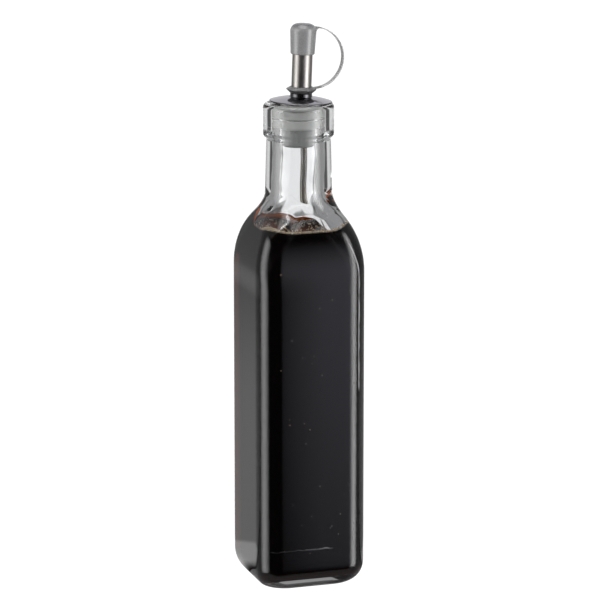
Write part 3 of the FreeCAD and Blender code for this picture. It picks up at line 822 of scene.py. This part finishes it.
def dark_vinegar():
    """Nearly black in bulk; painted red-brown and amber glow where light shines through the drink as it thins out at
    the glass, painted glints on its sides, and a painted reflection that makes the front of its surface paler.
    """
    nodes = Nodes("dark_vinegar")
    place = nodes.place()
    x, y, z = nodes.axes(place)
    mark = nodes.add("ShaderNodeAttribute", out="Fac", attribute_name="mark")
    on_top = nodes.band(mark, -0.5, -0.1)
    cloud = nodes.noise(place, 220, 3.0)
    blots = nodes.noise(nodes.stretched(place, 1, 1, 0.6), 170, 2.0, 0.6)
    deep = nodes.mix(cloud, colour(0.0025, 0.0012, 0.001), colour(0.0015, 0.0008, 0.0007))
    # Painted light: red-brown at the foot of the drink and along its left back edge stands in for light shining
    # through the drink where it is thin.
    heel = nodes.band(z, 0.0060, 0.0115, 1.0, 0.0)
    side = nodes.mix(heel, deep, colour(0.03, 0.009, 0.006))
    edge = nodes.band(x, -0.0268, -0.0262, 1.0, 0.0) * nodes.band(y, 0.008, 0.018)
    side = nodes.mix(edge, side, colour(0.10, 0.035, 0.028))
    # Painted glint: a pale wavy streak on the drink behind the front right corner stands in for the glass wall
    # catching the light.
    bend = (HALF - CORNER) * MM
    turn = (x - bend).heading(-bend - y)
    wander = nodes.noise(nodes.stretched(place, 0, 0, 1), 90, 2.0)
    painted_glint = nodes.band(abs(turn - 0.66 - wander * 0.12), 0.03, 0.07, 1.0, 0.0)
    painted_glint = painted_glint * nodes.band(z, 0.106, 0.112) * nodes.band(z, 0.182, 0.190, 1.0, 0.0)
    side = nodes.mix(painted_glint * nodes.band(wander, 0.3, 0.6, 0.3, 1.0), side, colour(0.9, 0.9, 0.92))
    # Painted glint: a pale wavy line low on the front of the drink stands in for light caught at the heel of the
    # glass.
    curl = nodes.noise(nodes.stretched(place, 1, 0, 0), 260, 2.0)
    thin = nodes.band(abs(z - 0.0212 - curl * 0.0022), 0.0001, 0.0005, 1.0, 0.0)
    thin = thin * nodes.band(y, -0.0262, -0.0255, 1.0, 0.0)
    thin = thin * nodes.band(x, -0.0110, 0.0040, 0.12, 1.0) * nodes.band(x, 0.0085, 0.0110, 1.0, 0.0)
    side = nodes.mix(thin * nodes.band(curl, 0.35, 0.6, 0.3, 1.0), side, colour(0.55, 0.55, 0.56))
    # Painted light: where the film of drink stands up the back of the glass and the surface meets the wall, amber and
    # dark red-brown stand in for light shining through the thin drink; the film's shape is real.
    back = nodes.band(y * 0.95 - x * 0.3, -0.006, 0.008)
    high = nodes.band(z, 0.1925, 0.1965)
    film = nodes.band(mark + blots * 3.0 - 1.5, 0.0, 1.8, 1.0, 0.0)
    film = film * nodes.band(blots + high * 0.3, 0.42, 0.62) * back
    # Painted reflection: the front of the surface is painted a paler grey-brown, standing in for the room mirrored in
    # it.
    front = nodes.band(y * 0.95 + x * 0.3, -0.012, 0.006, 1.0, 0.0)
    amber = nodes.mix(cloud, colour(0.80, 0.20, 0.028), colour(0.30, 0.06, 0.010))
    calm = nodes.mix(front, colour(0.03, 0.018, 0.014), colour(0.10, 0.082, 0.074))
    top = nodes.mix(film, calm, nodes.mix(high, colour(0.07, 0.02, 0.008), amber))
    nodes.surface({"Base Color": nodes.mix(on_top, side, top), "Roughness": nodes.band(cloud, 0.3, 0.7, 0.05, 0.12),
                   "IOR": 1.12, "Coat Weight": nodes.band(mark, 0.3, 0.7), "Coat IOR": 1.34,
                   "Coat Roughness": 0.04, "Normal": nodes.bump(cloud, 0.0002, 0.2)})
    return nodes.material


def foam_skin():
    """Thin amber bubble skins, paler where they lie thick."""
    nodes = Nodes("foam_skin")
    place = nodes.place()
    patch = nodes.noise(place, 700, 2.0)
    tone = nodes.mix(patch, colour(0.62, 0.42, 0.22), colour(0.85, 0.74, 0.58))
    nodes.surface({"Base Color": tone, "Roughness": nodes.band(patch, 0.3, 0.7, 0.1, 0.25), "IOR": 1.33,
                   "Transmission Weight": 0.35, "Normal": nodes.bump(patch, 0.00005, 0.3)})
    return nodes.material


def milky_plastic():
    """Soft translucent plastic, a little cloudy, with painted shade in its grooves and a painted highlight round its
    top.
    """
    nodes = Nodes("milky_plastic")
    place = nodes.place()
    cloud = nodes.noise(nodes.stretched(place, 1, 1, 0.5), 240, 4.0)
    grain = nodes.noise(place, 1800, 2.0)
    x, y, z = nodes.axes(place)
    # Painted shade: darker in the grooves between the ribs.
    groove = nodes.band((x * x + y * y) ** 0.5, 0.0088, 0.0090, 1.0, 0.0)
    tone = nodes.mix(cloud, colour(0.60, 0.61, 0.59), colour(0.74, 0.75, 0.72))
    tone = nodes.mix(groove * 0.45, tone, colour(0.20, 0.205, 0.20))
    # Painted highlight: a pale ring near the top of the plug stands in for light caught along the glass lip.
    rim = nodes.band(z, 0.2572, 0.2576) * nodes.band(z, 0.2586, 0.2590, 1.0, 0.0)
    tone = nodes.mix(rim, tone, colour(0.88, 0.88, 0.86))
    nodes.surface({"Base Color": tone, "Roughness": nodes.band(grain, 0.3, 0.7, 0.3, 0.45),
                   "Subsurface Weight": 0.35, "Subsurface Radius": (0.004, 0.004, 0.0035), "Subsurface Scale": 0.5,
                   "Normal": nodes.bump(grain, 0.00003, 0.4)})
    return nodes.material


def polished_steel():
    """Stainless steel: a polished disc with painted shade on its rolled rim and at the collar, and a tube with a finer
    satin.
    """
    nodes = Nodes("polished_steel")
    place = nodes.place()
    x, y, z = nodes.axes(place)
    off = x - SEAT_SHIFT * MM
    from_axis = (off * off + y * y) ** 0.5
    marks = nodes.noise(nodes.add("ShaderNodeCombineXYZ", {0: from_axis * 9000, 1: z * 3000, 2: 0.0}), 1.0, 2.0)
    smear = nodes.noise(place, 140, 4.0)
    tube = nodes.band(z, 0.2652, 0.2662)
    # Painted shade: near black on the rolled rim of the disc and on the collar where it meets the disc.
    rim = nodes.band(from_axis, 0.01615, 0.0164)
    collar = nodes.band(from_axis, 0.0064, 0.0060) * nodes.band(z, 0.2672, 0.2668)
    disc_tone = nodes.mix(smear, colour(0.40, 0.39, 0.43), colour(0.48, 0.47, 0.505))
    tone = nodes.mix(tube, disc_tone, colour(0.31, 0.295, 0.28))
    tone = nodes.mix(rim.most(collar), tone, colour(0.10, 0.10, 0.105))
    rough = nodes.band(smear + marks * 0.4, 0.4, 1.0, 0.08, 0.16) + tube * 0.24 + collar * 0.16
    nodes.surface({"Base Color": tone, "Metallic": 1.0, "Roughness": rough,
                   "Normal": nodes.bump(marks, 0.000004, 0.3)})
    return nodes.material


def tube_steel():
    """Drawn steel tube with marks along its length and a tan film from the drink."""
    nodes = Nodes("tube_steel")
    place = nodes.place()
    draw = nodes.noise(nodes.stretched(place, 3000, 3000, 20), 1.0, 2.0)
    film = nodes.noise(nodes.stretched(place, 300, 300, 120), 1.0, 3.0)
    tone = nodes.mix(nodes.band(film, 0.35, 0.7), colour(0.36, 0.345, 0.33), colour(0.26, 0.23, 0.195))
    nodes.surface({"Base Color": tone, "Metallic": 0.9, "Roughness": nodes.band(draw, 0.3, 0.7, 0.22, 0.38),
                   "Normal": nodes.bump(draw, 0.000004, 0.4)})
    return nodes.material


def grey_plastic():
    """Satin grey moulded plastic with a fine grain, with painted shade at its crown and on its ring, and painted light
    along the strap.
    """
    nodes = Nodes("grey_plastic")
    place = nodes.place()
    x, _, z = nodes.axes(place)
    grain = nodes.noise(place, 2600, 2.0)
    cloud = nodes.noise(nodes.stretched(place, 1, 1, 0.3), 300, 3.0)
    tone = nodes.mix(cloud, colour(0.165, 0.165, 0.17), colour(0.235, 0.235, 0.235))
    # Painted shade: darker at the top of the crown.
    crown = nodes.band(z, 0.2985, 0.3005)
    tone = nodes.mix(crown, tone, colour(0.10, 0.10, 0.104))
    # Painted shade: dark on the ring on the tube, darkest on its underside.
    low = nodes.band(z, 0.2685, 0.2705, 0.6, 0.0).most(nodes.band(z, 0.2662, 0.2674, 1.0, 0.0))
    tone = nodes.mix(low, tone, colour(0.05, 0.05, 0.05))
    # Painted light: the outer part of the strap is painted paler, standing in for light falling on it.
    strap = nodes.band(x, 0.0118, 0.0128)
    tone = nodes.mix(strap, tone, colour(0.44, 0.44, 0.44))
    nodes.surface({"Base Color": tone, "Roughness": nodes.band(grain, 0.3, 0.7, 0.22, 0.34),
                   "IOR": 1.65, "Normal": nodes.bump(grain, 0.00002, 0.5)})
    return nodes.material


# ---------------------------------------------------------------- studio

CAMERA_TURN = math.radians(17.95)
CAMERA_AWAY = 1.7
CAMERA_HEIGHT = 0.5264
CAMERA_PITCH = math.radians(12.44)
CAMERA_SHIFT = 0.0021
SENSOR = 36
LENS = 3262 / 605 * SENSOR
SIDE_GREY = 0.27    # what light sees after it bounced inside the glass
RIGHT = Vector((math.cos(CAMERA_TURN), -math.sin(CAMERA_TURN), 0))
AWAY = Vector((math.sin(CAMERA_TURN), math.cos(CAMERA_TURN), 0))


def make_camera():
    """A long lens from the left of the front, looking a little down."""
    data = bpy.data.cameras.new("camera")
    data.lens = LENS
    data.sensor_width = SENSOR
    camera = new_object("camera", data)
    camera.location = -AWAY * CAMERA_AWAY + Vector((0, 0, CAMERA_HEIGHT)) + RIGHT * CAMERA_SHIFT
    look = AWAY * math.cos(CAMERA_PITCH) - Vector((0, 0, math.sin(CAMERA_PITCH)))
    camera.rotation_euler = look.to_track_quat("-Z", "Y").to_euler()
    bpy.context.scene.camera = camera


def flat_card(name, corners, material):
    """A flat stage panel with one corner of its texture square at each of its corners."""
    mesh = new_mesh(name, corners, [tuple(range(len(corners)))])
    uv = mesh.uv_layers.new(name="card")
    for loop, place in zip(uv.data, ((0, 0), (1, 0), (1, 1), (0, 1))):
        loop.uv = place
    mesh.materials.append(material)
    card = new_object(name, mesh)
    return card


def glow(name, strength, soft_x, soft_y, tone, veil):
    """A veil lit from behind, fading towards its edges; a veil of 0 hides what is behind it."""
    nodes = Nodes(name)
    u, v, _ = nodes.axes(nodes.add("ShaderNodeUVMap"))
    across = nodes.band(0.5 - abs(u - 0.5), 0.0, soft_x)
    up = nodes.band(0.5 - abs(v - 0.5), 0.0, soft_y)
    light = nodes.add("ShaderNodeEmission", {"Color": (*tone, 1.0), "Strength": across * up * strength})
    clear = nodes.add("ShaderNodeBsdfTransparent", {"Color": colour(veil, veil, veil)})
    nodes.finish(nodes.add("ShaderNodeAddShader", {0: light, 1: clear}))
    return nodes.material


def at(heading, distance, height):
    """A place round the bottle: heading in degrees from the camera's side, positive to the right."""
    turn = math.radians(heading)
    spot = RIGHT * math.sin(turn) * distance - AWAY * math.cos(turn) * distance
    return spot + Vector((0, 0, height))


def sheet_material(name, strength, paper=0.0):
    """Paper that gives back an even light, with a share of plain paper that takes shadows."""
    nodes = Nodes(name)
    given = strength(nodes) if callable(strength) else strength
    light = nodes.add("ShaderNodeEmission", {"Color": colour(1, 1, 1), "Strength": given})
    plain = nodes.add("ShaderNodeBsdfDiffuse", {"Color": colour(paper, paper, paper)})
    nodes.finish(nodes.add("ShaderNodeAddShader", {0: light, 1: plain}))
    return nodes.material


def stage_axes(nodes):
    """On a card: how far to one side, how far behind the bottle, how far from it, and the height."""
    x, y, z = nodes.axes(nodes.place())
    return abs(x * RIGHT.x + y * RIGHT.y), x * AWAY.x + y * AWAY.y, (x * x + y * y) ** 0.5, z


def bounced_inside(nodes):
    """1 for light that bounced inside the glass on its way, otherwise 0."""
    return nodes.add("ShaderNodeLightPath", out="Glossy Depth").least(1.0)


def bright_lane(nodes):
    """Bright behind the bottle, a dark strip, then grey; light that bounced inside the glass sees only grey."""
    across, away, far_off, _ = stage_axes(nodes)
    turn = across.heading(away)
    lane = nodes.band(turn, 0.60, 0.70, 0.95, 0.06)
    side = nodes.band(turn, 0.80, 0.92, 0.0, 0.75) * nodes.band(turn, 1.15, 1.35, 1.0, SIDE_GREY / 0.75)
    bounced = bounced_inside(nodes)
    near = nodes.band(far_off, 0.45, 0.75, 0.35, 1.0)
    under = nodes.band(far_off, 0.035, 0.055, 0.6, 1.0)
    return ((lane * near).most(side) * (1 - bounced) + bounced * SIDE_GREY) * under


def far_wall(nodes):
    """Bright low down behind the bottle, and dimmer in what bounces inside the glass."""
    across, _, _, z = stage_axes(nodes)
    lit = nodes.band(across, 0.9, 1.7, 0.95, SIDE_GREY) * nodes.band(z, 0.66, 0.96, 1.0, 0.3)
    return lit * (1 - bounced_inside(nodes) * 0.6)


def near_white(nodes):
    """White close to the bottle and straight behind it, greyer to the sides and further off."""
    across, away, far_off, _ = stage_axes(nodes)
    lane = nodes.band(across / away.most(0.001), 0.35, 0.6, 0.95, 0.0)
    grey = nodes.band(far_off, 0.080, 0.090, 0.95, 0.50) - nodes.band(far_off, 0.35, 0.9) * 0.22
    return grey.most(lane) * nodes.band(away, 0.0, 0.02)


def seen_by(card, rays):
    """Only these kinds of ray meet the card."""
    for kind in ("camera", "diffuse", "glossy", "transmission", "shadow"):
        setattr(card, "visible_" + kind, kind in rays.split())


def upright(first, last, distance, low, high):
    """Corners of an upright panel that fills the headings from first to last."""
    return [at(first, distance, low), at(last, distance, low), at(last, distance, high), at(first, distance, high)]


def floor_card(name, before, behind, material, rays):
    """A level card at the table's height, from so far before the bottle to so far behind it."""
    side = max(before, behind)
    corners = [at(-90, side, 0) - AWAY * before, at(90, side, 0) - AWAY * before,
               at(90, side, 0) + AWAY * behind, at(-90, side, 0) + AWAY * behind]
    seen_by(flat_card(name, corners, material), rays)


PANELS = (      # name, rays, corners, strength, soft across, soft up, tone, veil
    ("left_light", "glossy", upright(-98, -38, 0.75, -0.4, 0.75), 3.9, 0.5, 0.15, (1, 1, 1), 1.0),
    ("right_light", "glossy", upright(38, 84, 0.75, -0.4, 0.75), 6.2, 0.5, 0.15, (1, 1, 1), 1.0),
    ("left_lamp", "diffuse", upright(-98, -38, 0.75, 0.15, 1.0), 4.0, 0.25, 0.15, (1, 1, 1), 1.0),
    ("right_lamp", "diffuse", upright(38, 84, 0.75, 0.15, 1.0), 5.2, 0.25, 0.15, (1, 1, 1), 1.0),
    ("front_fill", "glossy", upright(20, 64, 0.78, -0.44, 0.62), 0.98, 0.5, 0.5, (0.93, 0.93, 1.08), 1.0),
    ("dark_front", "glossy", upright(-60, 60, 2.2, -0.9, 2.2), 0.0, 0.01, 0.01, (1, 1, 1), 0.0),
    ("top_strip", "glossy", [at(-30, 0.55, 1.02), at(30, 0.55, 1.02), at(30, 0.40, 1.16), at(-30, 0.40, 1.16)],
     9.0, 0.3, 0.4, (1, 1, 1), 1.0),
    ("left_glow", "transmission", upright(-115, -38, 1.0, -0.1, 1.2), 2.4, 0.4, 0.3, (1, 1, 1), 1.0),
    ("right_glow", "transmission", upright(38, 115, 1.0, -0.1, 1.2), 2.4, 0.4, 0.3, (1, 1, 1), 1.0),
    ("back_wall", "glossy", upright(210, 150, 4.8, 0, 3.6), 0.4, 0.2, 0.05, (0.98, 0.98, 1.0), 1.0),
    ("over_light", "diffuse glossy transmission shadow",
     [at(-40, 0.9, 1.3), at(40, 0.9, 1.3), at(140, 0.9, 1.5), at(220, 0.9, 1.5)], 3.0, 0.25, 0.15, (1, 1, 1), 1.0),
)


def make_sweep():
    """The pale table that runs up into a wall, seen by the camera only."""
    profile = [(0, 0), (1.0, 0), (3.0, 0)] + arc(3.0, 1.5, 1.5, -90, 0, 16)[1:] + [(4.5, 4.0)]
    shell = turned(profile, 96, closed=False)
    mesh = new_mesh("sweep", shell.points, [tuple(reversed(face)) for face in shell.faces])
    mesh.shade_smooth()
    mesh.materials.append(sheet_material("pale_sheet", 0.97, 0.2))
    sweep = new_object("sweep", mesh)
    seen_by(sweep, "camera")


def make_stage():
    """Table, lights and walls, each met by its own kind of ray, and a dim even room."""
    make_sweep()
    floor_card("table_seen_through", 4.0, 4.0, sheet_material("bright_lane", bright_lane), "transmission")
    floor_card("table_lit", 4.0, 4.0, sheet_material("table_lit", 0.6), "diffuse")
    floor_card("table_mirrored", 0.0, 3.4, sheet_material("near_white", near_white), "glossy")
    for name, rays, corners, strength, soft_x, soft_y, tone, veil in PANELS:
        seen_by(flat_card(name, corners, glow(name, strength, soft_x, soft_y, tone, veil)), rays)
    seen_by(flat_card("wall_seen_through", upright(204, 156, 4.6, 0, 1.8), sheet_material("far_wall", far_wall)),
            "transmission")
    world = bpy.data.worlds.new("room")
    world.use_nodes = True
    world.node_tree.nodes["Background"].inputs["Color"].default_value = (0.28, 0.28, 0.285, 1)
    bpy.context.scene.world = world
    bpy.context.scene.view_settings.view_transform = "Standard"


# ---------------------------------------------------------------- assembly

for make, material in ((make_glass, clear_glass), (make_vinegar, dark_vinegar), (make_stopper, milky_plastic),
                       (make_spout, polished_steel), (make_vent_tube, tube_steel), (make_dust_cap, grey_plastic)):
    made_piece = make()
    made_piece.data.materials.clear()
    made_piece.data.materials.append(material())

foam_group = scatter_group(foam_skin())
for name, surface, density, smallest, largest, seed, slot_name in (
        ("foam_front", surface_band(198, 342, 0.3, 5.2), 1.7e6, 0.24, 0.7, 4, "dark_vinegar"),
        ("foam_corner", surface_band(212, 285, 0.6, 4.0), 2.2e6, 0.22, 0.7, 9, "dark_vinegar"),
        ("loose_bubbles", surface_band(0, 360, 1.0, 19.0), 0.11e6, 0.16, 0.46, 2, "dark_vinegar"),
        ("glass_seeds", front_wall(), 4200, 0.16, 0.30, 6, "clear_glass")):
    bubbles(name, surface, foam_group, density, smallest, largest, seed)

make_stage()
make_camera()
